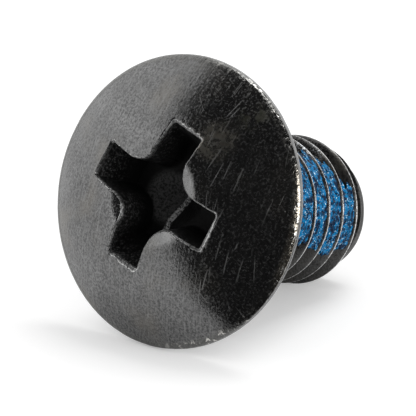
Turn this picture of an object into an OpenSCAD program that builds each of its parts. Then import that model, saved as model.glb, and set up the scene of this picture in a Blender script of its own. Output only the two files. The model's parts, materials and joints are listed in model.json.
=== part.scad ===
// Machine screw, M3 coarse thread, with a low domed head, a cross recess and a nylon locking patch.
// The screw lies on its side, on the rim of its head and on its last full thread crest.
// Its tip points along +X, the floor is at Z = 0 and the origin is under the middle of its box.

/* [Head] */
// Diameter of the domed head
head_d = 5.7; // [5:0.05:7]
// Height of the head, from its bearing face to its crown
head_h = 1.15; // [1:0.05:1.6]
// Height of the head's side above the bearing face, up to where the upper rounding starts
rim_wall_h = 0.1; // [0.08:0.01:0.25]
// Rounding radius between the head's side and its dome
rim_round = 0.12; // [0.06:0.01:0.18]
// Rounding radius between the head's side and its bearing face
rim_low_round = 0.05; // [0.02:0.01:0.07]

/* [Cross recess] */
// Distance across two opposite wings, where they meet the dome
recess_span = 2.9; // [2.5:0.05:3.2]
// Width of each wing, where it meets the dome
wing_w = 0.76; // [0.6:0.02:0.9]
// Angle between a wing's sloping end and the screw's axis
wing_end_slope = 26.5; // [20:0.5:32]
// Angle between a wing's sides and the screw's axis
wing_side_draft = 4; // [1:0.5:6]
// Rounding radius of the four lands between the wings
land_round = 0.42; // [0.2:0.02:0.5]
// Depth of the wings below the crown
recess_depth = 1.15; // [0.9:0.05:1.6]
// Extra depth of the shallow point in the middle of the recess floor
floor_point = 0.15; // [0.05:0.05:0.3]
// Diameter at which the punch starts to draw the lands down
mouth_d = 2; // [1.8:0.05:2.3]
// Slope of the drawn lands towards the middle
mouth_slope = 12; // [5:1:20]
// Distance by which the recess misses the head's axis
recess_offset = 0.1; // [0:0.02:0.15]
// Turn of the recess about the axis, from the screw's upper side
recess_turn = 71; // [0:1:90]

/* [Shank] */
// Length from the bearing face to the tip
screw_l = 4.8; // [4:0.1:8]
// Length of the plain neck under the head
neck_l = 0.5; // [0.3:0.05:0.8]
// Fillet radius between the neck and the bearing face
neck_fillet = 0.2; // [0.17:0.01:0.28]
// Length of the tapered start of the thread
taper_l = 0.45; // [0.35:0.05:0.7]
// Length of the plain stub at the tip
stub_l = 0.19; // [0.1:0.01:0.4]
// Height of the stub's surface above the thread's root
stub_rise = 0.03; // [0.02:0.01:0.08]
// Rounding radius of the tip's edge
tip_round = 0.06; // [0.02:0.01:0.1]

/* [Thread] */
// Major diameter of the thread
thread_d = 3; // [2.6:0.1:3.2]
// Pitch of the thread
pitch = 0.5; // [0.4:0.05:0.6]
// Half of the angle between the thread's flanks
flank_angle = 30; // [28:1:31]

/* [Locking patch] */
// Distance from the bearing face to the start of the patch
patch_start = 1; // [0.7:0.1:1.6]
// Distance from the end of the patch to the thread's tapered start
patch_tip_gap = 0.15; // [0:0.05:0.5]
// Width of the patch across the shank
patch_w = 2.05; // [1.2:0.05:2.3]
// Depth of the nylon's surface below the thread crests
patch_sink = 0.05; // [0.02:0.01:0.1]
// Rounding radius of the patch's corners
patch_corner = 0.6; // [0.2:0.05:0.9]
// Turn of the patch about the axis, from the screw's upper side
patch_turn = -77; // [-180:1:180]

/* [Hidden] */
$fn = 96;

head_r = head_d / 2;
thread_r = thread_d / 2;

// How far a cutting shape stands clear of the metal
cut_over = 0.2;

// Basic metric profile: height of the sharp triangle, then the flats and the depth
triangle_h = pitch / 2 / tan(flank_angle);
crest_flat = pitch / 8;
thread_depth = triangle_h * 17 / 24;
root_flat = pitch - crest_flat - 2 * thread_depth * tan(flank_angle);
root_r = thread_r - thread_depth;

// A rolled blank has the pitch diameter, which the neck keeps. It rises to the crests at 45 degrees.
neck_r = thread_r - triangle_h * 3 / 8;
thread_start = neck_l + thread_r - neck_r;
stub_r = root_r + stub_rise;
taper_start = screw_l - stub_l - taper_l;

// The dome is one sphere that touches the crown and the rim's upper rounding
rim_drop = head_h - rim_wall_h;
rim_in = head_r - rim_round;
dome_r = (rim_in * rim_in + rim_drop * rim_drop - rim_round * rim_round) / (2 * (rim_drop - rim_round));
dome_reach = asin(rim_in / (dome_r - rim_round));
function dome_z(r) = head_h - dome_r + sqrt(dome_r * dome_r - r * r);

// Point halfway between opposite corners of a ring
function ring_middle(ring) = (ring[0] + ring[len(ring) / 2]) / 2;

// Points on an arc about [cx, cy], without its first point
function arc(cx, cy, r, from, to, steps) =
    [for (i = [1 : steps]) let (a = from + (to - from) * i / steps) [cx + r * cos(a), cy + r * sin(a)]];

// Half section of the blank, as radius and height above the bearing face
blank_outline = concat(
    [[0, head_h]],
    arc(0, head_h - dome_r, dome_r, 90, 90 - dome_reach, 24),
    arc(rim_in, rim_wall_h, rim_round, 90 - dome_reach, 0, 6),
    [[head_r, rim_low_round]],
    arc(head_r - rim_low_round, rim_low_round, rim_low_round, 0, -90, 4),
    [[neck_r + neck_fillet, 0]],
    arc(neck_r + neck_fillet, -neck_fillet, neck_fillet, 90, 180, 5),
    [[neck_r, -neck_l], [thread_r, -thread_start], [thread_r, -taper_start], [stub_r, stub_l - screw_l]],
    [[stub_r, tip_round - screw_l]],
    arc(stub_r - tip_round, tip_round - screw_l, tip_round, 0, -90, 4),
    [[0, -screw_l]]);

// Groove between the crests. It starts past the tip, and it climbs out of the metal at the neck.
// The crest passes the screw's lower side exactly where the tapered start begins.
groove_steps = 36;
groove_top_r = thread_r + crest_flat / 4 / tan(flank_angle);
groove_low_turns = (stub_l + taper_l) / pitch + 1;
groove_high_turns = (taper_start - thread_start) / pitch + 0.5;
climb_turns = 0.5;
climb_over = 0.03;
climb = neck_r - root_r + climb_over;
groove_first = -ceil(groove_low_turns * groove_steps);
groove_last = floor(groove_high_turns * groove_steps);

function groove_lift(turns) = climb * max(0, 1 - (groove_high_turns - turns) / climb_turns);
function groove_z(turns) = -taper_start + pitch * (turns - 0.5);
function groove_ring(turns) =
    let (a = 180 + 360 * turns, z = groove_z(turns), low_r = root_r + groove_lift(turns),
         low_w = root_flat / 2, top_w = low_w + (groove_top_r - low_r) * tan(flank_angle))
    [for (p = [[low_r, -low_w], [groove_top_r, -top_w], [groove_top_r, top_w], [low_r, low_w]])
        [p[0] * cos(a), p[0] * sin(a), z + p[1]]];

// Section of the recess at a height above the bearing face, from one wing to the next
wing_tip_z = dome_z(recess_span / 2);
wing_floor_z = head_h - recess_depth;
recess_top_z = head_h + cut_over;
land_points = 7;
function wing_reach(z) = recess_span / 2 + (z - wing_tip_z) * tan(wing_end_slope);
function wing_half_w(z) = wing_w / 2 + (z - wing_tip_z) * tan(wing_side_draft);
function land_r(z) = min(land_round, 0.9 * (wing_reach(z) - wing_half_w(z)));
function quarter(z) =
    let (h = wing_reach(z), w = wing_half_w(z), r = land_r(z))
    concat([[h, -w], [h, w], [w + r, w]], arc(w + r, w + r, r, 270, 180, land_points));
function recess_section(z) =
    [for (q = [0 : 3]) for (p = quarter(z))
        [p[0] * cos(90 * q) - p[1] * sin(90 * q), p[0] * sin(90 * q) + p[1] * cos(90 * q), z]];

// Funnel that the punch draws into the lands, as radius and height
mouth_r = mouth_d / 2;
mouth_z = dome_z(mouth_r);
mouth_outline = [[0, mouth_z - mouth_r * tan(mouth_slope)], [mouth_r, mouth_z],
    [mouth_r, recess_top_z + cut_over], [0, recess_top_z + cut_over]];

// The dip at which the screw lies: the rim's lower rounding and the last crest touch one line
rest_rise = head_r - rim_low_round - thread_r;
rest_run = taper_start + rim_low_round;
rest_dip = atan(rest_rise / rest_run) + asin(rim_low_round / sqrt(rest_rise * rest_rise + rest_run * rest_run));
axis_h = thread_r * cos(rest_dip) + taper_start * sin(rest_dip);
tip_x = (stub_r - tip_round) * sin(rest_dip) + (screw_l - tip_round) * cos(rest_dip) + tip_round;
crown_x = -dome_r - (head_h - dome_r) * cos(rest_dip);
middle_x = (tip_x + crown_x) / 2;

// Closes a row of rings into one solid. Each ring runs clockwise, as seen from the next one.
// Each end is a fan around its middle, and the last middle can stand out of its ring.
module loft(rings, last_shift = [0, 0, 0]) {
    n = len(rings[0]);
    last = len(rings) - 1;
    first_middle = (last + 1) * n;
    last_middle = first_middle + 1;
    middles = [ring_middle(rings[0]), ring_middle(rings[last]) + last_shift];
    sides = [for (i = [0 : last - 1]) for (j = [0 : n - 1]) let (k = (j + 1) % n)
        [i * n + j, i * n + k, (i + 1) * n + k, (i + 1) * n + j]];
    first_end = [for (j = [0 : n - 1]) [first_middle, (j + 1) % n, j]];
    last_end = [for (j = [0 : n - 1]) [last_middle, last * n + j, last * n + (j + 1) % n]];
    polyhedron(
        points = concat([for (ring = rings) for (p = ring) p], middles),
        faces = concat(first_end, sides, last_end),
        convexity = 10);
}

// Lays what stands on its axis, head up, down on its side
module lie_down() {
    translate([-middle_x, 0, axis_h]) rotate([0, rest_dip - 90, 0]) children();
}

module thread_groove() {
    loft([for (i = [groove_first : groove_last]) groove_ring(i / groove_steps)]);
}

// The blank as it comes from the header, with its lands drawn in around the recess
module headed_blank() {
    difference() {
        rotate_extrude() polygon(blank_outline);
        translate([recess_offset, 0, 0]) rotate_extrude() polygon(mouth_outline);
    }
}

module cross_recess() {
    translate([recess_offset, 0, 0]) rotate([0, 0, recess_turn])
        loft([recess_section(recess_top_z), recess_section(wing_floor_z)], [0, 0, -floor_point]);
}

module screw() {
    color([0.2, 0.2, 0.21])
        lie_down() difference() {
            headed_blank();
            thread_groove();
            cross_recess();
        }
}

// Outline of the patch, as seen from its own side
module patch_window() {
    l = taper_start - patch_tip_gap - patch_start;
    c = min(patch_corner, l / 2, patch_w / 2);
    x = patch_w / 2 - c;
    y = l / 2 - c;
    polygon(concat(arc(x, y, c, 0, 90, 6), arc(-x, y, c, 90, 180, 6),
        arc(-x, -y, c, 180, 270, 6), arc(x, -y, c, 270, 360, 6)));
}

module locking_patch() {
    color([0.02, 0.38, 0.66])
        lie_down() intersection() {
            rotate([0, 0, patch_turn]) translate([0, 0, -(patch_start + taper_start - patch_tip_gap) / 2])
                rotate([90, 0, 90]) linear_extrude(thread_d) patch_window();
            translate([0, 0, -screw_l]) cylinder(h = screw_l, r = thread_r - patch_sink);
            thread_groove();
        }
}

screw();
locking_patch();
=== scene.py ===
# A short black machine screw with a domed head, a cross recess and a blue nylon patch, on a pale floor.
# The screw's own frame is in millimetres: its axis is Z, its bearing face is at 0 and its crown is up.
# Its pieces are modelled there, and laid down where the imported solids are.

import json
from math import asin, atan2, ceil, cos, hypot, pi, radians, sin, sqrt, tan
from random import Random

import bmesh
import bpy
from mathutils import Matrix, Vector, noise


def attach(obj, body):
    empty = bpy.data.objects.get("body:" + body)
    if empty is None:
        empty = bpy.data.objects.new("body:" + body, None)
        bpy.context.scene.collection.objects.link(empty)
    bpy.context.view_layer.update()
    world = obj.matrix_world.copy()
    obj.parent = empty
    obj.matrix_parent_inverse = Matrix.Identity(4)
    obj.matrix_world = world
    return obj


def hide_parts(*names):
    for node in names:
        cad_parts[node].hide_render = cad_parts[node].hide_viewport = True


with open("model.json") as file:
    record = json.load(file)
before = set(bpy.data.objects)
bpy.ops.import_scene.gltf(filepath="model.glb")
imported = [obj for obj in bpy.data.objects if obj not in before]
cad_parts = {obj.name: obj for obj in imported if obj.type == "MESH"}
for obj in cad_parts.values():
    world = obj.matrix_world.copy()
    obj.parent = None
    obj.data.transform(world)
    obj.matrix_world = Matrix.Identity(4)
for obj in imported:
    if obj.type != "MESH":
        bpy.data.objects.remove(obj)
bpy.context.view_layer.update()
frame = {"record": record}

MM = 0.001
SAME_PLACE = 1e-5
CUT_WIDTH = 1e-6

# Head. It, the thread and the screw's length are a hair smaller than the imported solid's named sizes,
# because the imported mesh's flat facets lie a little inside its true round shapes
HEAD_R = 2.845
HEAD_H = 1.148
RIM_WALL_H = 0.1
RIM_ROUND = 0.12
RIM_LOW_ROUND = 0.05
RIM_KNOCKS = 0.008
BIG_KNOCKS = (3.2, 2)
SMALL_KNOCKS = (9, 4)

# Cross recess. Its wings are numbered from the one at RECESS_TURN
RECESS_SPAN = 2.9
RECESS_DEPTH = 1.15
RECESS_OFFSET = 0.1
RECESS_TURN = radians(71)
WING_W = 0.76
WING_END_SLOPE = tan(radians(26.5))
WING_SIDE_DRAFT = tan(radians(4))
WING_CORNER_R = 0.06
LEAST_CORNER_R = 0.004
LAND_R = 0.42

# The shallow funnel around the recess, which the punch drew down
MOUTH_R = 0.97
MOUTH_SHIFT = -0.09
MOUTH_SLOPE = tan(radians(12))
FUNNEL_BLEND = 0.03
FUNNEL_REACH = 1.5 * MOUTH_R

# The recess floor: a cone sunk into its middle, and a low ridge along the foot of one wing. The ridge
# starts and ends softly, at places across that wing
FLOOR_POINT = 0.32
FLOOR_POINT_R = 0.52
FLOOR_FILLET = 0.07
RIDGE_H = 0.04
RIDGE_HALF_W = 0.06
RIDGE_AT = 0.02
RIDGE_WAY = RECESS_TURN + pi
RIDGE_START = (-0.15, 0)
RIDGE_END = (0.6, 0.72)

# The worn edge of the recess: how far it reaches down the wall, and how wide it is at the end of each wing
# and along the sides. A noise is a scale and a seed
EDGE_DROP = 0.05
EDGE_CURVE = 0.85
EDGE_TRIES = 3
END_WEAR = (0.03, 0.12, 0.1, 0.11)
SIDE_WEAR = 0.04
WEAR_WAVES = (8, 5)
WEAR_GRAINS = (18, 2)
BURR = 0.02
BURR_START = (-0.6, 0.2)
BURR_NOISE = (16, 9)
CHIPS = 0.04
CHIP_NOISE = (24, 3)

# Shank and thread
SCREW_L = 4.799
NECK_L = 0.5
NECK_FILLET = 0.2
TAPER_L = 0.45
STUB_L = 0.19
STUB_RISE = 0.03
TIP_ROUND = 0.06
THREAD_R = 1.497
PITCH = 0.5
FLANK = tan(radians(30))

# Locking patch
PATCH_START = 1.0
PATCH_TIP_GAP = 0.15
PATCH_FACING = -78.8
PATCH_POINTS = 24
PATCH_STEPS = 110

# Its top lies a gap below the crests, and leaves a strip of each groove bare on the side of the tip. Its
# edges are ragged, by degrees around the axis. Its lumps start PATCH_FOOT above the root, lie PATCH_SHRINK
# lower on average, and stand no more than PATCH_PROUD above the crests
PATCH_TOP_GAP = 0.012
PATCH_BARE = 0.05
PATCH_RAGGED = 6
RAGGED_NOISE = (9, 3)
PATCH_PROUD = 0.008
PATCH_LUMPS = 0.012
LUMP_NOISE = (8, 1)
PATCH_GRAINS = 0.014
GRAIN_NOISE = (17, 6)
PATCH_SHRINK = 0.004
PATCH_FOOT = 0.02

# The patch's outline: a distance below the head, and its two edges there in degrees from where it faces
PATCH_EDGES = (
    (1.0, -25, 34), (1.8, -28, 38), (2.3, -29, 41), (2.8, -34, 47), (3.3, -39, 37), (3.8, -31, 18))

# The basic metric profile and what follows from it
TRIANGLE_H = PITCH / 2 / FLANK
CREST_FLAT = PITCH / 8
THREAD_DEPTH = TRIANGLE_H * 17 / 24
ROOT_FLAT = PITCH - CREST_FLAT - 2 * THREAD_DEPTH * FLANK
ROOT_R = THREAD_R - THREAD_DEPTH
NECK_R = THREAD_R - TRIANGLE_H * 3 / 8
THREAD_START = NECK_L + THREAD_R - NECK_R
STUB_R = ROOT_R + STUB_RISE
TAPER_START = SCREW_L - STUB_L - TAPER_L
NECK_JOIN = 0.34
HEAD_GAP = 0.04

# The dome is one sphere that touches the crown and the rim's upper rounding
RIM_DROP = HEAD_H - RIM_WALL_H
RIM_IN = HEAD_R - RIM_ROUND
DOME_R = (RIM_IN ** 2 + RIM_DROP ** 2 - RIM_ROUND ** 2) / (2 * (RIM_DROP - RIM_ROUND))
DOME_REACH = asin(RIM_IN / (DOME_R - RIM_ROUND))
DOME_EDGE_R = RIM_IN + RIM_ROUND * sin(DOME_REACH)

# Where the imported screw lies: its bearing face's middle, and its axis from the head to the tip
mounts = {mount["name"]: mount for mount in frame["record"]["mounts"]}
bearing = mounts["bearing_face"]
bearing_middle = Vector((bearing["pos_m"][0], 0, bearing["pos_m"][2]))
tip_direction = Vector(bearing["axis"]).normalized()
LAY_TURN = atan2(-tip_direction.x, -tip_direction.z)
LAY_DOWN = Matrix.Translation(bearing_middle) @ Matrix.Rotation(LAY_TURN, 4, "Y") @ Matrix.Scale(MM, 4)


def dome_z(r):
    """Height of the dome above the bearing face, at a radius."""
    return HEAD_H - DOME_R + sqrt(DOME_R ** 2 - r ** 2)


def blend(a, b, share):
    return a + (b - a) * share


def shares(steps, first=1):
    """The ends of equal steps from 0 to 1, without the 0 unless first is 0."""
    return [step / steps for step in range(first, steps + 1)]


def smooth(low, high, value):
    """From 0 at low to 1 at high, with soft ends."""
    share = min(1, max(0, (value - low) / (high - low)))
    return share * share * (3 - 2 * share)


def soft_min(a, b, width):
    """The smaller of two numbers, rounded where they meet."""
    share = max(0, width - abs(a - b)) / width
    return min(a, b) - share * share * width / 4


def direction_at(azimuth, elevation):
    """The direction at an angle around from X and an angle up from the floor."""
    return Vector((cos(azimuth) * cos(elevation), sin(azimuth) * cos(elevation), sin(elevation)))


def roughness_at(point, scale, seed):
    """Smooth noise from -1 to 1 at a point, with bumps about 1/scale apart."""
    return noise.noise(Vector(point) * scale + Vector((seed, seed, seed)))


# The camera has the photograph's view of the screw
CAMERA_AZIMUTH = radians(-53.6)
CAMERA_ELEVATION = radians(19.2)
CAMERA_DISTANCE = 74.8 * MM
CAMERA_AIM_RIGHT = 0.533 * MM
CAMERA_AIM_UP = -0.125 * MM
CAMERA_LENS = 335.8
SENSOR_W = 36.0

right = Vector((cos(CAMERA_AZIMUTH), sin(CAMERA_AZIMUTH), 0))
back = direction_at(CAMERA_AZIMUTH - pi / 2, CAMERA_ELEVATION)
up = back.cross(right)

camera_data = bpy.data.cameras.new("camera")
camera_data.sensor_width = SENSOR_W
camera_data.lens = CAMERA_LENS
camera_data.clip_start = 1 * MM
camera_data.clip_end = 10
camera = bpy.data.objects.new("camera", camera_data)
camera.matrix_world = Matrix.Translation(
    bearing_middle + right * CAMERA_AIM_RIGHT + up * CAMERA_AIM_UP + back * CAMERA_DISTANCE
) @ Matrix((right, up, back)).transposed().to_4x4()
bpy.context.collection.objects.link(camera)
bpy.context.scene.camera = camera
bpy.context.scene.view_settings.view_transform = "Standard"


class Wire:
    """A socket of a node tree, with Python's arithmetic on it."""

    def __init__(self, tree, socket):
        self.tree = tree
        self.socket = socket

    def math(self, operation, *values):
        sockets = dict(enumerate(values))
        return add_node(self.tree, "ShaderNodeMath", {"operation": operation}, sockets)

    def __add__(self, other):
        return self.math("ADD", self, other)

    def __sub__(self, other):
        return self.math("SUBTRACT", self, other)

    def __mul__(self, other):
        return self.math("MULTIPLY", self, other)

    def __pow__(self, other):
        return self.math("POWER", self, other)

    def __rsub__(self, other):
        return self.math("SUBTRACT", other, self)

    def __neg__(self):
        return self.math("MULTIPLY", self, -1)

    def __abs__(self):
        return self.math("ABSOLUTE", self)

    __radd__ = __add__
    __rmul__ = __mul__

    def ramp(self, low, high):
        """From 0 where this is low to 1 where it is high, with soft ends."""
        return add_node(self.tree, "ShaderNodeMapRange", {"interpolation_type": "SMOOTHSTEP"},
                        {"Value": self, "From Min": low, "From Max": high})

    def band(self, rise, fall):
        """1 between two values of this, with a soft rise before them and a soft fall after them."""
        return self.ramp(*rise) * (1 - self.ramp(*fall))

    def most(self, other):
        return self.math("MAXIMUM", self, other)

    def least(self, other):
        return self.math("MINIMUM", self, other)

    def mix(self, a, b):
        """Colour a where this is 0, and b where it is 1."""
        return add_node(self.tree, "ShaderNodeMix", {"data_type": "RGBA"},
                        {0: self, 6: a, 7: b}, output=2)


def add_node(tree, kind, settings=None, sockets=None, output=0):
    """Adds a node, sets its settings and then its sockets, and returns one of its outputs as a Wire."""
    made = tree.nodes.new(kind)
    for name, value in (settings or {}).items():
        setattr(made, name, value)
    for key, value in (sockets or {}).items():
        if isinstance(value, Wire):
            tree.links.new(value.socket, made.inputs[key])
        else:
            made.inputs[key].default_value = value
    return Wire(tree, made.outputs[output]) if len(made.outputs) else None


def add_material(name):
    """A new material with nothing in its tree."""
    material = bpy.data.materials.new(name)
    material.use_nodes = True
    material.node_tree.nodes.clear()
    return material, material.node_tree


def end_in(tree, shader):
    add_node(tree, "ShaderNodeOutputMaterial", sockets={"Surface": shader})


def rgb(r, g, b):
    return (r, g, b, 1)


def grey(level):
    return rgb(level, level, level)


def object_place(tree):
    """The place on the surface in Object coordinates, which are the floor's, in metres."""
    return add_node(tree, "ShaderNodeTexCoord", output="Object")


def screw_place(tree):
    """The place on the surface in the screw's own frame, in millimetres."""
    return add_node(tree, "ShaderNodeMapping", {"vector_type": "TEXTURE"},
                    {"Vector": object_place(tree), "Location": bearing_middle,
                     "Rotation": (0, LAY_TURN, 0), "Scale": (MM, MM, MM)})


def grain(tree, place, scale, detail=2.0, roughness=0.5, stretch=(1, 1, 1), turn=0.0, shift=(0, 0, 0)):
    """Noise around 0.5 at a place, turned about the screw's axis and then drawn out along each axis."""
    turned = add_node(tree, "ShaderNodeMapping", {"vector_type": "POINT"},
                      {"Vector": place, "Rotation": (0, 0, turn), "Location": shift})
    thinned = add_node(tree, "ShaderNodeMapping", {"vector_type": "POINT"},
                       {"Vector": turned, "Scale": [1 / s for s in stretch]})
    return add_node(tree, "ShaderNodeTexNoise", sockets={
        "Vector": thinned, "Scale": scale, "Detail": detail, "Roughness": roughness})


def cells(tree, place, scale):
    """Distance to the nearest of many scattered points, as a share of their spacing."""
    return add_node(tree, "ShaderNodeTexVoronoi", {"feature": "F1"}, {"Vector": place, "Scale": scale})


def parts(tree, vector):
    """The three coordinates of a vector."""
    made = tree.nodes.new("ShaderNodeSeparateXYZ")
    tree.links.new(vector.socket, made.inputs[0])
    return [Wire(tree, made.outputs[axis]) for axis in range(3)]


def off_spot(zones, middle_x, middle_y, inner, outer):
    """0 near a place on the head and 1 away from it, between two squares of the distance."""
    return ((zones.x - middle_x) ** 2 + (zones.y - middle_y) ** 2).ramp(inner, outer)


# Hairline scratches on the head, in sets of parallel ones: each set's angle about the axis in degrees, the
# shift of its noise, and how far its noise is drawn out along the scratches. All are drawn out by
# HAIR_DEPTH along the screw's axis
HAIR_SETS = ((-4, 3, 60), (-9, 17, 40), (40, 41, 30), (8, 55, 44))
HAIR_SCALE = 42
HAIR_DEPTH = 60
HAIR_SHARE = 0.6
HAIR_EDGE = (0.72, 0.77)
HAIR_PLACE_SCALE = 1.6
HAIR_PLACES = (0.54, 0.64)


def hairs(tree, place, angle, shift, length):
    """Straight hairline scratches at an angle about the screw's axis, in scattered places."""
    line = grain(tree, place, HAIR_SCALE, detail=0, stretch=(1, length, HAIR_DEPTH),
                 turn=pi / 2 - radians(angle), shift=(shift, shift, shift))
    where = grain(tree, place, HAIR_PLACE_SCALE, detail=1, shift=(shift, 0, -shift)).ramp(*HAIR_PLACES)
    return line.ramp(*HAIR_EDGE) * where


# The longest scratches on the dome. They lie on its right side, most of them nearly upright in the
# photograph. Angles are in degrees about the axis, and a scratch's length is given as its half
SCRATCH_COUNT = 16
SCRATCH_SEED = 4
SCRATCH_SIDE = 276
SCRATCH_SPREAD = 58
SCRATCH_NEAR, SCRATCH_FAR = 1.35, 2.5
SCRATCH_WAYS = (-6, -6, -14, 38)
SCRATCH_STRAY = 9
SCRATCH_SHORT, SCRATCH_LONG = 0.09, 0.34
SCRATCH_EDGE = (0.003, 0.013)
SCRATCH_FADE = 0.4


def long_scratches(zones):
    """1 on the longest scratches, which fade at their ends."""
    draw = Random(SCRATCH_SEED)
    bare = None
    for _ in range(SCRATCH_COUNT):
        at = radians(SCRATCH_SIDE + draw.uniform(-SCRATCH_SPREAD, SCRATCH_SPREAD))
        from_axis = draw.uniform(SCRATCH_NEAR, SCRATCH_FAR)
        way = radians(draw.choice(SCRATCH_WAYS) + draw.uniform(-SCRATCH_STRAY, SCRATCH_STRAY))
        half = draw.uniform(SCRATCH_SHORT, SCRATCH_LONG)
        c, s = cos(way), sin(way)
        middle_x, middle_y = from_axis * cos(at), from_axis * sin(at)
        along = abs(zones.x * c + zones.y * s - (middle_x * c + middle_y * s))
        across = abs(zones.x * s - zones.y * c - (middle_x * s - middle_y * c))
        off = across.ramp(*SCRATCH_EDGE).most(along.ramp(half * SCRATCH_FADE, half))
        bare = off if bare is None else bare.least(off)
    return 1 - bare


# Zones of the screw's surface. Each pair is where a mask starts and where it is full, as a height, a
# radius or a depth below the head's top
RECESS_ZONE_R = 1.2
RECESS_ZONE_LEAN = 0.5
RECESS_ZONE_EDGE = (-0.03, 0.03)
MOUTH_DEPTH = (0.004, 0.02)
WALL_DEPTH = (0.05, 0.1)
FLOOR_HEIGHT = (0.05, 0.1)
BEVEL_TOP, BEVEL_FOOT = (0.006, 0.012), (0.045, 0.06)
UPPER_LINE_TOP, UPPER_LINE_FOOT = (0.008, 0.011), (0.015, 0.02)
LOWER_LINE_TOP, LOWER_LINE_FOOT = (0.04, 0.044), (0.052, 0.06)
LOWER_LINE_SHARE = 0.5
RIM_ZONE_R = (2.7, 2.78)
RIM_WALL_ZONE_R = (2.8, 2.83)
RIM_WALL_FOOT, RIM_WALL_TOP = (0, 0.02), (0.1, 0.13)
THREAD_ZONE = (-0.6, -0.4)
CREST_ZONE = (THREAD_R - 0.005, THREAD_R - 0.001)
RIDGE_EDGE = (0.05, 0.07)
BEHIND_RIDGE = (RIDGE_AT + 0.04, RIDGE_AT + 0.08)


class Zones:
    """Coordinates on the screw, depth below the head's top, and masks that are 1 in a zone, else 0."""

    def __init__(self, tree, place):
        x, y, z = parts(tree, place)
        r = (x * x + y * y) ** 0.5
        from_middle = ((x - RECESS_OFFSET) ** 2 + (y - MOUTH_SHIFT) ** 2) ** 0.5
        in_recess = (RECESS_ZONE_R + z * RECESS_ZONE_LEAN - r).ramp(*RECESS_ZONE_EDGE)
        dome = (DOME_R ** 2 - r * r) ** 0.5 + (HEAD_H - DOME_R)
        top = dome.least(from_middle * MOUTH_SLOPE + (dome_z(MOUTH_R) - MOUTH_R * MOUTH_SLOPE))
        depth = top - z
        upper_line = depth.band(UPPER_LINE_TOP, UPPER_LINE_FOOT)
        lower_line = depth.band(LOWER_LINE_TOP, LOWER_LINE_FOOT)
        along = (x - RECESS_OFFSET) * cos(RIDGE_WAY) + y * sin(RIDGE_WAY)
        self.x, self.y, self.z, self.depth = x, y, z, depth
        self.around = y.math("ARCTAN2", y, x)
        self.mouth = in_recess * (dome - top).ramp(*MOUTH_DEPTH)
        self.wall = in_recess * depth.ramp(*WALL_DEPTH)
        self.floor = in_recess * (1 - z.ramp(*FLOOR_HEIGHT))
        self.bevel = in_recess * depth.band(BEVEL_TOP, BEVEL_FOOT)
        self.edge = in_recess * upper_line.most(lower_line * LOWER_LINE_SHARE)
        self.rim = r.ramp(*RIM_ZONE_R) * z.ramp(*RIM_WALL_TOP)
        self.rim_wall = r.ramp(*RIM_WALL_ZONE_R) * z.band(RIM_WALL_FOOT, RIM_WALL_TOP)
        self.thread = 1 - z.ramp(*THREAD_ZONE)
        self.crest = self.thread * r.ramp(*CREST_ZONE)
        self.ridge = 1 - abs(along - RIDGE_AT).ramp(*RIDGE_EDGE)
        self.behind_ridge = along.ramp(*BEHIND_RIDGE)


# Two smudges on the head: where each is, and the square of its radius
RUBBED_X, RUBBED_Y, RUBBED_R2 = 1.36, -1.1, 0.26
DULLED_X, DULLED_Y, DULLED_R2 = 1.95, -1.6, 0.14

# Painted sheen in pale flecks beside the patch, where the shank's upper side catches light: an angle about
# the axis and half the width there, in radians, and heights
SHEEN_ANGLE = -0.5
SHEEN_HALF_W = (0.05, 0.2)
SHEEN_FOOT, SHEEN_TOP = (-3.6, -3.2), (-2.6, -2.2)

# The wear's noises, as bumps per millimetre, and how the brushed one is drawn out and turned
FINE_SCALE = 26
SPECK_SCALE = 22
KNOCK_SCALE = 10
CLOUD_SCALE = 1.1
PATCHY_SCALE = 3.2
BRUSH_SCALE = 40
BRUSH_STRETCH = (1, 14, 60)
BRUSH_TURN = radians(98)
PIT_SCALE = 8
PIT_EDGE = (0.05, 0.13)


class WearAndSheen:
    """The plate's noises, the marks on it, and a painted sheen beside the patch."""

    def __init__(self, tree, place, zones):
        self.fine = grain(tree, place, FINE_SCALE, detail=2, roughness=0.6)
        self.speck = grain(tree, place, SPECK_SCALE, detail=3, roughness=0.65)
        self.knocked = grain(tree, place, KNOCK_SCALE, detail=3, roughness=0.6)
        self.cloud = grain(tree, place, CLOUD_SCALE, detail=3)
        self.brushed = grain(tree, place, BRUSH_SCALE, detail=1, stretch=BRUSH_STRETCH, turn=BRUSH_TURN)
        self.pits = 1 - cells(tree, place, PIT_SCALE).ramp(*PIT_EDGE)
        self.glints = self.speck.ramp(0.48, 0.74)
        patchy = grain(tree, place, PATCHY_SCALE, detail=4, roughness=0.6).ramp(0.42, 0.6)
        self.rubbed = (1 - off_spot(zones, RUBBED_X, RUBBED_Y, 0, RUBBED_R2)) * (patchy * 0.6 + 0.4)
        self.dulled = (1 - off_spot(zones, DULLED_X, DULLED_Y, 0, DULLED_R2)) * patchy
        beside_patch = 1 - abs(zones.around - SHEEN_ANGLE).ramp(*SHEEN_HALF_W)
        # Painted sheen in pale flecks on the shank's upper side, beside the patch
        self.sheen_flecks = beside_patch * zones.z.band(SHEEN_FOOT, SHEEN_TOP) * self.fine.ramp(0.5, 0.6)
        self.scratches = long_scratches(zones)
        for angle, shift, length in HAIR_SETS:
            self.scratches = self.scratches.most(hairs(tree, place, angle, shift, length) * HAIR_SHARE)


# The plate's own two greys, the colours of what lies on it, a painted highlight for the thread's crests and
# a painted sheen beside the patch
PLATE_DARK, PLATE_PALE = grey(0.11), grey(0.28)
MOUTH_GREY = grey(0.36)
CLOUD_DARK, CLOUD_WARM = grey(0.1), rgb(0.25, 0.235, 0.21)
BRUSHED_GREY = grey(0.35)
RUBBED_TAN = rgb(0.36, 0.33, 0.27)
DULLED_OLIVE = rgb(0.2, 0.2, 0.13)
SCRATCH_GREY = grey(0.4)
PIT_DARK = grey(0.04)
THREAD_DARK = rgb(0.05, 0.048, 0.045)
CREST_HIGHLIGHT = grey(0.95)
SHEEN_FLECK_WHITE = rgb(0.8, 0.84, 0.88)


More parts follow.
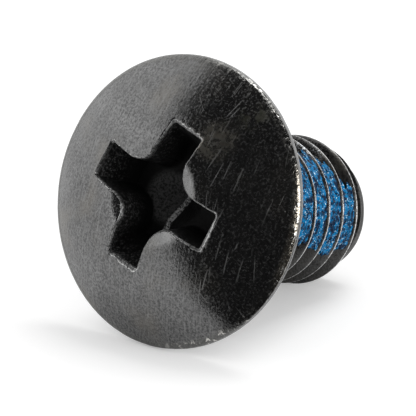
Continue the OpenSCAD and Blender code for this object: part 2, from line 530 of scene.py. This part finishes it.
def plate_tone(zones, wear):
    """Grey plate with clouds, brushing, smudges, scratches and pits, darker on the thread."""
    on_thread = zones.thread * (0.7 - wear.fine.ramp(0.4, 0.6) * 0.2)
    tone = wear.speck.ramp(0.35, 0.65).mix(PLATE_DARK, PLATE_PALE)
    tone = (zones.mouth * 0.5).mix(tone, MOUTH_GREY)
    tone = (wear.cloud.ramp(0.3, 0.55) * 0.25).mix(tone, CLOUD_DARK)
    tone = (wear.cloud.ramp(0.5, 0.8) * 0.5).mix(tone, CLOUD_WARM)
    tone = (wear.brushed.ramp(0.5, 0.7) * 0.3).mix(tone, BRUSHED_GREY)
    tone = (wear.rubbed * 0.7).mix(tone, RUBBED_TAN)
    tone = (wear.dulled * 0.5).mix(tone, DULLED_OLIVE)
    tone = (wear.scratches * 0.6).mix(tone, SCRATCH_GREY)
    tone = (wear.pits * 0.7).mix(tone, PIT_DARK)
    return on_thread.mix(tone, THREAD_DARK)


# The recess's colours, each as its dark and its bright end: painted shade on the walls and floor, painted
# highlights on the edge and the ridge, and the bevel's greys
WALL_SHADE, WALL_GLINT = grey(0.006), grey(0.12)
BEVEL_DARK, BEVEL_PALE = grey(0.1), grey(0.4)
EDGE_HIGHLIGHT = rgb(0.85, 0.85, 0.84)
FLOOR_SHADE, FLOOR_SHADE_PALE = grey(0.008), grey(0.055)
FLOOR_DEEP_SHADE = grey(0.006)
RIDGE_HIGHLIGHT = grey(0.35)

# The middle of the painted lit round on the recess floor, and the squares of its inner and outer radius
FLOOR_ROUND_X, FLOOR_ROUND_Y = 0.02, 0.3
FLOOR_ROUND_INNER2, FLOOR_ROUND_OUTER2 = 0.14, 0.36


def recess_floor_tone(zones, wear):
    """Painted shade, nearly black, with a painted lit round between the wings and a painted highlight on
    the ridge.
    """
    off_lit_round = off_spot(zones, FLOOR_ROUND_X, FLOOR_ROUND_Y, FLOOR_ROUND_INNER2, FLOOR_ROUND_OUTER2)
    # Painted shade on the floor, mottled near black
    tone = wear.speck.ramp(0.3, 0.65).mix(FLOOR_SHADE, FLOOR_SHADE_PALE)
    # Painted deeper shade outside the lit round and behind the ridge
    tone = off_lit_round.most(zones.behind_ridge).mix(tone, FLOOR_DEEP_SHADE)
    # Painted highlight along the ridge
    return (zones.ridge * wear.speck.ramp(0.4, 0.6)).mix(tone, RIDGE_HIGHLIGHT)


def recess_tone(zones, wear, tone):
    """Lays the recess over the plate: walls in painted shade that deepens downwards, with glints near the
    top, the floor, and a worn edge with painted bright lines.
    """
    # Painted shade: the walls darken with depth, and their pale specks fade out below the top
    wall_shade = (wear.glints * (1 - zones.depth.ramp(0.2, 0.9))).mix(WALL_SHADE, WALL_GLINT)
    bevel_tone = wear.speck.ramp(0.35, 0.6).mix(BEVEL_DARK, BEVEL_PALE)
    tone = zones.wall.mix(tone, wall_shade)
    tone = zones.floor.mix(tone, recess_floor_tone(zones, wear))
    tone = zones.bevel.mix(tone, bevel_tone)
    # Painted highlight in two thin bright lines along the worn edge
    return (zones.edge * wear.speck.ramp(0.38, 0.54)).mix(tone, EDGE_HIGHLIGHT)


# The rim's colours: a painted warm highlight, a painted sheen on its side wall and painted glints on its
# knocks, and where on one side the highlight turns warm and where the knocks glint
RIM_GREY, RIM_WARM_HIGHLIGHT = rgb(0.2, 0.2, 0.19), rgb(0.7, 0.62, 0.5)
RIM_WALL_SHEEN = grey(0.38)
KNOCK_GLINT_WHITE = rgb(0.9, 0.88, 0.84)
WARM_HIGHLIGHT_SIDE = (2.5, 2.72)
GLINT_SIDE = (0, 1.2)


def rim_tone(zones, wear, tone):
    """Lays the rim over the plate: greyer, with a painted sheen on its side wall, a painted warm highlight
    on one side, and painted glints on its knocks.
    """
    # Painted warm highlight on one side of the rim
    warm_highlight = (-zones.y).ramp(*WARM_HIGHLIGHT_SIDE).mix(RIM_GREY, RIM_WARM_HIGHLIGHT)
    # Painted glints on the rim's knocks, on one side
    knocks = zones.rim * wear.knocked.ramp(0.54, 0.62) * (-zones.y).ramp(*GLINT_SIDE)
    tone = (zones.rim * 0.5).mix(tone, warm_highlight)
    # Painted sheen on the rim's side wall
    tone = (zones.rim_wall * 0.7).mix(tone, RIM_WALL_SHEEN)
    return knocks.mix(tone, KNOCK_GLINT_WHITE)


# How deep the bumps are, in millimetres, and how strongly a surface mirrors at its edges
PLATE_RELIEF = 0.009
NYLON_RELIEF = 0.035
EDGE_GLOSS = 0.1


def black_nickel():
    """Satin black nickel plate, with specks, pits and hairline scratches, painted shade in the recess, and
    painted highlights and sheen on the crests, the rim, the recess's edge and beside the patch.
    """
    material, tree = add_material("black_nickel")
    place = screw_place(tree)
    zones = Zones(tree, place)
    wear = WearAndSheen(tree, place, zones)

    tone = rim_tone(zones, wear, recess_tone(zones, wear, plate_tone(zones, wear)))
    # Painted highlight along the thread's crests
    tone = (zones.crest * wear.speck.ramp(0.32, 0.52)).mix(tone, CREST_HIGHLIGHT)
    # Painted sheen in pale flecks beside the patch
    tone = wear.sheen_flecks.mix(tone, SHEEN_FLECK_WHITE)

    rough = 0.1 + wear.cloud.ramp(0.3, 0.7) * 0.06 + wear.glints * 0.3
    rough = rough + wear.scratches * 0.4 + wear.fine.ramp(0.5, 0.7) * 0.12
    rough = rough + zones.wall * 0.3 + zones.bevel * 0.3 + zones.thread * 0.15 - zones.crest * 0.1
    rough = rough + (wear.rubbed + wear.dulled) * 0.19
    height = wear.speck * 0.6 + wear.fine * 0.5 + wear.brushed * 0.3
    height = height - wear.pits * 0.6 - wear.scratches * 0.3 + zones.rim * wear.knocked * 3.5
    bump = add_node(tree, "ShaderNodeBump", sockets={
        "Height": height, "Strength": 0.6, "Distance": PLATE_RELIEF * MM})
    end_in(tree, add_node(tree, "ShaderNodeBsdfPrincipled", sockets={
        "Base Color": tone, "Metallic": 1 - zones.wall * 0.7, "Roughness": rough,
        "Specular IOR Level": EDGE_GLOSS, "Normal": bump}))
    return material


# The nylon's noises, as bumps per millimetre, and its colours
LUMP_SCALE = 9
GLINT_SCALE = 30
POWDER_SCALE = 20
NYLON_ROUGHNESS = 0.2
NYLON_DEEP, NYLON_BLUE = rgb(0, 0.012, 0.04), rgb(0, 0.17, 0.4)
NYLON_GLINT = rgb(0.65, 0.88, 1)


def blue_nylon():
    """Grainy fused nylon powder, deep blue with pale glints."""
    material, tree = add_material("blue_nylon")
    place = screw_place(tree)
    lumps = grain(tree, place, LUMP_SCALE, detail=3, roughness=0.6)
    fine = grain(tree, place, GLINT_SCALE, detail=1)
    glint = fine.ramp(0.64, 0.69) * lumps.ramp(0.42, 0.55)
    tone = lumps.ramp(0.4, 0.62).mix(NYLON_DEEP, NYLON_BLUE)
    tone = glint.mix(tone, NYLON_GLINT)
    bump = add_node(tree, "ShaderNodeBump", sockets={
        "Height": lumps * 0.8 - cells(tree, place, POWDER_SCALE), "Strength": 1,
        "Distance": NYLON_RELIEF * MM})
    end_in(tree, add_node(tree, "ShaderNodeBsdfPrincipled", sockets={
        "Base Color": tone, "Roughness": NYLON_ROUGHNESS, "Specular IOR Level": EDGE_GLOSS,
        "Normal": bump}))
    return material


def add_skin(bm, rings, points):
    """A tube through rings, each a function from a point's number to its place. Returns its corners."""
    steps = len(rings) - 1
    made = bmesh.ops.create_grid(bm, x_segments=points, y_segments=steps, size=0.5)["verts"]
    for corner in made:
        point = round((corner.co.x + 0.5) * points) % points
        ring = rings[round((corner.co.y + 0.5) * steps)]
        corner.co = ring(point)
    return made


# Edges that bend more than this stay sharp
SCREW_SHARP = radians(50)
PATCH_SHARP = radians(60)


def to_object(bm, name, material, sharp_angle):
    """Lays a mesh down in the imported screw's place, with its edges sharp past an angle."""
    bmesh.ops.recalc_face_normals(bm, faces=bm.faces)
    for face in bm.faces:
        face.smooth = True
    for edge in bm.edges:
        edge.smooth = edge.calc_face_angle(0) < sharp_angle
    bm.transform(LAY_DOWN)
    mesh = bpy.data.meshes.new(name)
    bm.to_mesh(mesh)
    bm.free()
    mesh.materials.append(material)
    made = bpy.data.objects.new(name, mesh)
    bpy.context.collection.objects.link(made)
    return made


# How many points the recess outline has on the stretches of one wing and one land
END_POINTS = 14
CORNER_POINTS = 5
SIDE_POINTS = 12
LAND_POINTS = 20
WEAR_FADE_POINTS = CORNER_POINTS + 4
WING_POINTS = END_POINTS + 2 * (CORNER_POINTS + SIDE_POINTS) + LAND_POINTS
RING_POINTS = 4 * WING_POINTS
WING_TIP_Z = dome_z(RECESS_SPAN / 2)
WING_FLOOR_Z = HEAD_H - RECESS_DEPTH


def recess_point(i, z, grow=0.0):
    """Where point i of the recess's outline is at a height, with the outline grown outwards."""
    wing, k = divmod(i, WING_POINTS)
    reach = RECESS_SPAN / 2 + (z - WING_TIP_Z) * WING_END_SLOPE + grow
    half_w = WING_W / 2 + (z - WING_TIP_Z) * WING_SIDE_DRAFT + grow
    corner = max(WING_CORNER_R + grow, LEAST_CORNER_R)
    land = LAND_R - grow
    stretches = (
        (END_POINTS, lambda t: (reach, (half_w - corner) * (2 * t - 1))),
        (CORNER_POINTS, lambda t: (reach - corner + corner * cos(t * pi / 2),
                                   half_w - corner + corner * sin(t * pi / 2))),
        (SIDE_POINTS, lambda t: (blend(reach - corner, half_w + land, t), half_w)),
        (LAND_POINTS, lambda t: (half_w + land - land * sin(t * pi / 2),
                                 half_w + land - land * cos(t * pi / 2))),
        (SIDE_POINTS, lambda t: (half_w, blend(half_w + land, reach - corner, t))),
        (CORNER_POINTS, lambda t: (half_w - corner + corner * cos(t * pi / 2),
                                   reach - corner + corner * sin(t * pi / 2))))
    for points, place in stretches:
        if k < points:
            x, y = place(k / points)
            break
        k -= points
    a = RECESS_TURN + wing * pi / 2
    return RECESS_OFFSET + x * cos(a) - y * sin(a), x * sin(a) + y * cos(a)


def head_surface(x, y):
    """Height of the head's top: the dome, drawn down in a funnel around the recess."""
    dome = dome_z(hypot(x, y))
    from_middle = hypot(x - RECESS_OFFSET, y - MOUTH_SHIFT)
    if from_middle > FUNNEL_REACH:
        return dome
    return soft_min(dome, dome_z(MOUTH_R) - (MOUTH_R - from_middle) * MOUTH_SLOPE, FUNNEL_BLEND)


def recess_edge(i, share):
    """Point i on the worn edge around the recess, from its wall at 0 to the dome at 1."""
    along = i % WING_POINTS
    from_end = min(along, WING_POINTS - along, abs(along - END_POINTS))
    if along > END_POINTS:
        wear = blend(END_WEAR[i // WING_POINTS], SIDE_WEAR, smooth(0, WEAR_FADE_POINTS, from_end))
    else:
        wear = END_WEAR[i // WING_POINTS]
    x, y = recess_point(i, HEAD_H)
    for _ in range(EDGE_TRIES):
        x, y = recess_point(i, head_surface(x, y) - EDGE_DROP)
    wall_z = head_surface(x, y) - EDGE_DROP
    at = (x, y, 0)
    wear = wear * (1 + 0.6 * roughness_at(at, *WEAR_WAVES) + 0.5 * roughness_at(at, *WEAR_GRAINS))
    x, y = recess_point(i, wall_z, wear * share)
    burr = BURR * smooth(*BURR_START, x) * (0.5 + roughness_at((x, y, 0), *BURR_NOISE))
    chips = CHIPS * roughness_at((x, y, 0), *CHIP_NOISE) * share
    lip = burr * sin(share * pi) ** 2 + min(0, chips) * (1 - share)
    return Vector((x, y, blend(wall_z, head_surface(x, y), share ** EDGE_CURVE) + lip))


def rim_angle(i):
    """The angle about the axis at which point i of a round ring lies."""
    return RECESS_TURN + 2 * pi * (i - END_POINTS / 2) / RING_POINTS


def turned(r, z, knocks=0.0):
    """Places the points of a ring at one radius and height, with small dents inwards."""
    def place(i):
        a = rim_angle(i)
        at = (cos(a) * r, sin(a) * r, z * 2)
        dent = knocks * max(0, roughness_at(at, *BIG_KNOCKS) + 0.5 * roughness_at(at, *SMALL_KNOCKS))
        return Vector(((r - dent) * cos(a), (r - dent) * sin(a), z))
    return place


def floor_ridge(x, y):
    """Height of the low ridge that the punch left on the recess floor, across the foot of one wing."""
    along = (x - RECESS_OFFSET) * cos(RIDGE_WAY) + y * sin(RIDGE_WAY)
    across = (x - RECESS_OFFSET) * sin(RIDGE_WAY) - y * cos(RIDGE_WAY)
    reach = smooth(*RIDGE_START, across) * (1 - smooth(*RIDGE_END, across))
    return RIDGE_H * max(0, 1 - ((along - RIDGE_AT) / RIDGE_HALF_W) ** 2) * reach


# How many rings each stretch of the head has. Those on the dome crowd towards the recess, and the
# underside's are at shares of its width
FLOOR_RINGS = 26
FLOOR_FILLET_RINGS = 4
WALL_RINGS = 10
EDGE_RINGS = 5
DOME_RINGS = 36
DOME_CROWDING = 1.5
RIM_RINGS = 10
RIM_LOW_RINGS = 5
UNDERSIDE_RINGS = (0.05, 0.5, 0.95, 1)
NECK_RINGS = 7


def head_rings():
    """The head's rings, from the middle of the recess floor over the dome and the rim to the neck."""
    rings = []
    fillet_z = WING_FLOOR_Z + FLOOR_FILLET

    def on_floor(share):
        def place(i):
            x, y = recess_point(i, fillet_z, -FLOOR_FILLET)
            x, y = blend(RECESS_OFFSET, x, share), y * share
            cone = FLOOR_POINT * max(0, 1 - hypot(x - RECESS_OFFSET, y) / FLOOR_POINT_R)
            return Vector((x, y, WING_FLOOR_Z - cone + floor_ridge(x, y)))
        return place

    def in_fillet(a):
        return lambda i: Vector((*recess_point(i, fillet_z, -FLOOR_FILLET * (1 - sin(a))),
                                 fillet_z - FLOOR_FILLET * cos(a)))

    def on_wall(share):
        def place(i):
            z = blend(fillet_z, recess_edge(i, 0).z, share)
            return Vector((*recess_point(i, z), z))
        return place

    def on_dome(share):
        def place(i):
            start, end = recess_edge(i, 1), turned(DOME_EDGE_R, 0)(i)
            x, y = blend(start.x, end.x, share), blend(start.y, end.y, share)
            return Vector((x, y, head_surface(x, y)))
        return place

    rings += [on_floor(share) for share in shares(FLOOR_RINGS, first=0)]
    rings += [in_fillet(pi / 2 * share) for share in shares(FLOOR_FILLET_RINGS)]
    rings += [on_wall(share) for share in shares(WALL_RINGS)]
    rings += [lambda i, share=share: recess_edge(i, share) for share in shares(EDGE_RINGS)]
    rings += [on_dome(share ** DOME_CROWDING) for share in shares(DOME_RINGS)]
    for share in shares(RIM_RINGS):
        a = blend(DOME_REACH, pi / 2, share)
        rings.append(turned(RIM_IN + RIM_ROUND * sin(a), RIM_WALL_H + RIM_ROUND * cos(a),
                            RIM_KNOCKS * sin(a)))
    low_middle = HEAD_R - RIM_LOW_ROUND
    for share in shares(RIM_LOW_RINGS, first=0):
        a = pi / 2 * share
        rings.append(turned(low_middle + RIM_LOW_ROUND * cos(a), RIM_LOW_ROUND * (1 - sin(a)),
                            RIM_KNOCKS * cos(a)))
    fillet_r = NECK_R + NECK_FILLET
    rings += [turned(blend(low_middle, fillet_r, share), 0) for share in UNDERSIDE_RINGS]
    for share in shares(NECK_RINGS):
        a = pi / 2 * share
        rings.append(turned(fillet_r - NECK_FILLET * sin(a), -NECK_FILLET * (1 - cos(a))))
    rings.append(turned(NECK_R, -NECK_JOIN + HEAD_GAP))
    return rings


def add_head(bm):
    """The head, from the middle of the recess floor to the neck."""
    made = add_skin(bm, head_rings(), RING_POINTS)
    bmesh.ops.remove_doubles(bm, verts=made, dist=SAME_PLACE)


# The thread: one pitch of its section, spun along the axis. Where turns meet, corners closer than
# TURN_JOIN are merged. The groove's floor climbs out of the metal at the neck, over CLIMB_TURNS, to
# GROOVE_CLEAR above the neck's radius
TURN_STEPS = 150
TURN_JOIN = 0.002
CLIMB_TURNS = 0.5
GROOVE_CLEAR = 0.03
GROOVE_END_TURNS = (TAPER_START - THREAD_START) / PITCH + 0.5
GROOVE_RISE = NECK_R - ROOT_R + GROOVE_CLEAR

# The worn crest of the thread: drops from it, and ways in from the corner of its flat
CREST_DROP = 0.003
CREST_IN = 0.0168
SHOULDER_DROP = 0.009
SHOULDER_IN = 0.006
FLANK_TOP_DROP = 0.018
FLANK_RINGS = 8

# The soft corner of the root: rises above it, and ways in from the corner of its flat
FLANK_FOOT_RISE = 0.02
ROOT_RISE = 0.004
ROOT_RISE_IN = 0.008
ROOT_IN = 0.022


def thread_section():
    """One pitch of the thread as radius and height, from the middle of one crest to the next one's."""
    crest_z = CREST_FLAT / 2
    root_z = (PITCH - ROOT_FLAT) / 2
    points = [(THREAD_R, 0), (THREAD_R - CREST_DROP, crest_z - CREST_IN),
              (THREAD_R - SHOULDER_DROP, crest_z - SHOULDER_IN)]
    for share in shares(FLANK_RINGS):
        points.append((blend(THREAD_R - FLANK_TOP_DROP, ROOT_R + FLANK_FOOT_RISE, share),
                       blend(crest_z + FLANK_TOP_DROP * FLANK, root_z - FLANK_FOOT_RISE * FLANK, share)))
    points += [(ROOT_R + ROOT_RISE, root_z + ROOT_RISE_IN), (ROOT_R, root_z + ROOT_IN),
               (ROOT_R, PITCH / 2)]
    mirrored = [(r, PITCH - z) for r, z in points[-2::-1]]
    return points + mirrored


def blank_radius(z):
    """Radius of the turned blank at a height below the bearing face."""
    if z > -NECK_L:
        return NECK_R
    if z > -THREAD_START:
        return NECK_R - z - NECK_L
    if z > -TAPER_START:
        return THREAD_R
    return max(STUB_R, blend(THREAD_R, STUB_R, (-z - TAPER_START) / TAPER_L))


def groove_floor(angle, z):
    """Radius of the groove's floor at a place: it climbs out of the metal at the neck."""
    part_turn = (angle - pi) / (2 * pi)
    turns = part_turn + round((z + TAPER_START) / PITCH + 0.5 - part_turn)
    return ROOT_R + GROOVE_RISE * max(0, 1 - (GROOVE_END_TURNS - turns) / CLIMB_TURNS)


def cut_at(bm, z, keep_above):
    """Cuts a mesh square to the axis at a height, and returns the new edges."""
    normal = (0, 0, -1 if keep_above else 1)
    everything = bm.verts[:] + bm.edges[:] + bm.faces[:]
    cut = bmesh.ops.bisect_plane(bm, geom=everything, dist=CUT_WIDTH, plane_co=(0, 0, z),
                                 plane_no=normal, clear_outer=True)["geom_cut"]
    return [item for item in cut if isinstance(item, bmesh.types.BMEdge)]


def ring_in_order(edges):
    """The corners of a closed ring of edges, in their order around it."""
    linked = set(edges)
    corner = edges[0].verts[0]
    order, edge = [corner], edges[0]
    while True:
        corner = edge.other_vert(corner)
        if corner is order[0]:
            return order
        order.append(corner)
        edge = [e for e in corner.link_edges if e in linked and e is not edge][0]


# The tip: how many rings its rounding has, and how far in from the edge those of its flat face lie. The
# last one is further in than the axis, so it closes the face
TIP_ROUND_RINGS = 5
TIP_FACE_RINGS = (0.1, 0.4, 0.8, 1.1, 2)


def add_shank(bm):
    """The neck, the thread and the tip."""
    turns_below = ceil((SCREW_L - TAPER_START) / PITCH) + 1
    turns = turns_below + ceil(TAPER_START / PITCH) + 1
    start_z = -TAPER_START - turns_below * PITCH
    section = [bm.verts.new((-r, 0, z + start_z)) for r, z in thread_section()]
    lines = [bm.edges.new(pair) for pair in zip(section, section[1:])]
    bmesh.ops.spin(bm, geom=section + lines, cent=(0, 0, 0), axis=(0, 0, 1), angle=2 * pi,
                   dvec=(0, 0, PITCH / TURN_STEPS), steps=TURN_STEPS, use_merge=False)
    one_turn = bm.verts[:] + bm.edges[:] + bm.faces[:]
    for turn in range(1, turns):
        copy = bmesh.ops.duplicate(bm, geom=one_turn)["geom"]
        bmesh.ops.translate(bm, vec=(0, 0, PITCH * turn),
                            verts=[item for item in copy if isinstance(item, bmesh.types.BMVert)])
    bmesh.ops.remove_doubles(bm, verts=bm.verts, dist=TURN_JOIN)
    for corner in bm.verts:
        angle, r = atan2(corner.co.y, corner.co.x), hypot(corner.co.x, corner.co.y)
        wanted = min(max(r, groove_floor(angle, corner.co.z)), blank_radius(corner.co.z))
        corner.co.xy *= wanted / r
    corners = ring_in_order(cut_at(bm, TIP_ROUND - SCREW_L, True))
    places = [corner.co.copy() for corner in corners]

    def at_tip(inward, z):
        def place(i):
            r = places[i].xy.length
            return Vector((*(places[i].xy * max(0, 1 - inward / r)), z))
        return place

    rings = []
    for share in shares(TIP_ROUND_RINGS, first=0):
        a = pi / 2 * share
        rings.append(at_tip(TIP_ROUND * (1 - cos(a)), TIP_ROUND * (1 - sin(a)) - SCREW_L))
    rings += [at_tip(inward, -SCREW_L) for inward in TIP_FACE_RINGS]
    tip = add_skin(bm, rings, len(places))
    bmesh.ops.remove_doubles(bm, verts=tip + corners, dist=SAME_PLACE)


def make_screw():
    """The screw as one closed skin, whose head and shank are joined in the neck."""
    bm = bmesh.new()
    add_shank(bm)
    neck_edges = cut_at(bm, -NECK_JOIN, False)
    add_head(bm)
    head_edges = [edge for edge in bm.edges if edge.is_boundary and edge not in neck_edges]
    bmesh.ops.bridge_loops(bm, edges=neck_edges + head_edges)
    return to_object(bm, "plated_screw", black_nickel(), SCREW_SHARP)


def patch_edges(z):
    """The angles of the patch's lower and upper edges at a height, in degrees around the axis."""
    down = min(max(-z, PATCH_EDGES[0][0]), PATCH_EDGES[-1][0])
    for (z0, low0, high0), (z1, low1, high1) in zip(PATCH_EDGES, PATCH_EDGES[1:]):
        if down <= z1:
            share = smooth(z0, z1, down)
            return PATCH_FACING + blend(low0, low1, share), PATCH_FACING + blend(high0, high1, share)


def add_patch_turn(bm, turn):
    """The nylon in one turn of the groove, from one side of the patch to the other."""
    top_r = THREAD_R - PATCH_TOP_GAP
    groove_z = PITCH * (turn + radians(PATCH_FACING) / (2 * pi) - 1) - TAPER_START
    if not PATCH_TIP_GAP - TAPER_START < groove_z < -PATCH_START:
        return
    half_top = ROOT_FLAT / 2 + (top_r - ROOT_R) * FLANK
    bare_r = top_r - PATCH_BARE
    section = [(ROOT_R, -ROOT_FLAT / 2), (bare_r, -ROOT_FLAT / 2 - (bare_r - ROOT_R) * FLANK)]
    section += [(top_r, blend(PATCH_BARE - half_top, half_top, share))
                for share in shares(PATCH_POINTS, first=0)]
    section += [(ROOT_R, ROOT_FLAT / 2)]
    corners = [bm.verts.new((r, 0, z)) for r, z in section]
    lines = [bm.edges.new((corners[i], corners[(i + 1) % len(corners)])) for i in range(len(corners))]
    old = set(bm.verts) - set(corners)
    made = bmesh.ops.spin(bm, geom=corners + lines, cent=(0, 0, 0), axis=(0, 0, 1),
                          angle=pi, steps=PATCH_STEPS)
    last = [item for item in made["geom_last"] if isinstance(item, bmesh.types.BMEdge)]
    bmesh.ops.contextual_create(bm, geom=lines)
    bmesh.ops.contextual_create(bm, geom=last)
    for corner in set(bm.verts) - old:
        share, r = atan2(corner.co.y, corner.co.x) / pi, hypot(corner.co.x, corner.co.y)
        low, high = patch_edges(groove_z + corner.co.z)
        ragged = PATCH_RAGGED * roughness_at((corner.co.z + turn, share, 0), *RAGGED_NOISE)
        angle = radians(blend(low, high, max(share, 0)) + ragged)
        z = groove_z + corner.co.z + PITCH * (angle - radians(PATCH_FACING)) / (2 * pi)
        corner.co = (r * cos(angle), r * sin(angle), z)


def make_patch():
    """The nylon in all turns of the groove, with a lumpy outside."""
    bm = bmesh.new()
    for turn in range(1, ceil(TAPER_START / PITCH) + 1):
        add_patch_turn(bm, turn)
    for corner in bm.verts:
        r, place = hypot(corner.co.x, corner.co.y), corner.co.copy()
        if r > ROOT_R + PATCH_FOOT:
            lumps = PATCH_LUMPS * roughness_at(place, *LUMP_NOISE)
            lumps += PATCH_GRAINS * roughness_at(place, *GRAIN_NOISE)
            corner.co.xy *= min(THREAD_R + PATCH_PROUD, r + lumps - PATCH_SHRINK) / r
    return to_object(bm, "nylon_patch", blue_nylon(), PATCH_SHARP)


screw = make_screw()
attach(screw, "root")
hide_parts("screw")

patch = make_patch()
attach(patch, "root")
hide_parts("locking_patch")


# The studio: a white surround with a soft dark side, towards which the right of the head looks. Lengths are
# in metres here
DARK_AZIMUTH = radians(243)
DARK_ELEVATION = radians(30)
DARK_EDGE = (0.085, 0.145)
DARK_TONE = 0.03
WORLD_LIGHT = 0.75
LAMP_DISTANCE = 0.12
FLOOR_W = 1.2
FLOOR_TONE = 0.8
FLOOR_LIFT = 0.3
HEAD_MIDDLE = LAY_DOWN @ Vector((0, 0, HEAD_H / 2))


def dark_side(tree, direction):
    """1 where a direction looks to the dark side of the studio, and 0 where it looks to the bright."""
    way = direction_at(DARK_AZIMUTH, DARK_ELEVATION)
    unit = add_node(tree, "ShaderNodeVectorMath", {"operation": "NORMALIZE"}, {0: direction})
    towards = add_node(tree, "ShaderNodeVectorMath", {"operation": "DOT_PRODUCT"},
                       {0: unit, 1: way}, output=1)
    return towards.ramp(*DARK_EDGE)


def light_path(tree, output):
    """One of the Light Path node's outputs, by its name."""
    return add_node(tree, "ShaderNodeLightPath", output=output)


def make_world():
    """A white surround that is less bright as a light than as seen. Only gloss shows its dark side."""
    world = bpy.data.worlds.new("studio")
    bpy.context.scene.world = world
    world.use_nodes = True
    tree = world.node_tree
    tree.nodes.clear()
    direction = add_node(tree, "ShaderNodeTexCoord", output=0)
    glossy = light_path(tree, "Is Glossy Ray")
    shown = light_path(tree, "Is Camera Ray").most(glossy).most(light_path(tree, "Is Transmission Ray"))
    bright = WORLD_LIGHT + shown * (1 - WORLD_LIGHT)
    level = bright * (1 - dark_side(tree, direction) * glossy * (1 - DARK_TONE))
    background = add_node(tree, "ShaderNodeBackground", sockets={"Color": grey(1), "Strength": level})
    add_node(tree, "ShaderNodeOutputWorld", sockets={"Surface": background})


def pale_floor():
    """Pale, with shadows, nearly white to the camera, and dark in gloss on the studio's dark side."""
    material, tree = add_material("pale_floor")
    glossy = light_path(tree, "Is Glossy Ray")
    seen = light_path(tree, "Is Camera Ray").most(light_path(tree, "Is Transmission Ray"))
    matt = add_node(tree, "ShaderNodeBsdfDiffuse", sockets={"Color": grey(FLOOR_TONE)})
    glow = add_node(tree, "ShaderNodeEmission", sockets={
        "Color": grey(1), "Strength": seen * FLOOR_LIFT})
    white = add_node(tree, "ShaderNodeAddShader", sockets={0: matt, 1: glow})
    dark = add_node(tree, "ShaderNodeEmission", sockets={"Color": grey(1), "Strength": DARK_TONE})
    direction = add_node(tree, "ShaderNodeVectorMath", {"operation": "SUBTRACT"},
                         {0: object_place(tree), 1: HEAD_MIDDLE})
    end_in(tree, add_node(tree, "ShaderNodeMixShader", sockets={
        0: dark_side(tree, direction) * glossy, 1: white, 2: dark}))
    return material


def make_floor():
    """A wide square under the screw."""
    bm = bmesh.new()
    bmesh.ops.create_grid(bm, x_segments=1, y_segments=1, size=FLOOR_W / 2)
    mesh = bpy.data.meshes.new("floor")
    bm.to_mesh(mesh)
    bm.free()
    mesh.materials.append(pale_floor())
    made = bpy.data.objects.new("floor", mesh)
    bpy.context.collection.objects.link(made)


def add_lamp(name, azimuth, elevation, width, height, radiance):
    """A soft lamp that looks at the head's middle, from a direction in the floor's frame, in degrees."""
    way = direction_at(radians(azimuth), radians(elevation))
    data = bpy.data.lights.new(name, "AREA")
    data.shape = "RECTANGLE"
    data.size = width
    data.size_y = height
    data.energy = radiance * pi * width * height
    made = bpy.data.objects.new(name, data)
    facing = way.to_track_quat("Z", "Y").to_matrix().to_4x4()
    made.matrix_world = Matrix.Translation(HEAD_MIDDLE + way * LAMP_DISTANCE) @ facing
    made.visible_camera = False
    bpy.context.collection.objects.link(made)


make_world()
make_floor()
add_lamp("rim_panel", azimuth=277, elevation=9, width=0.09, height=0.05, radiance=5)
add_lamp("top_panel", azimuth=355, elevation=67, width=0.06, height=0.06, radiance=4)
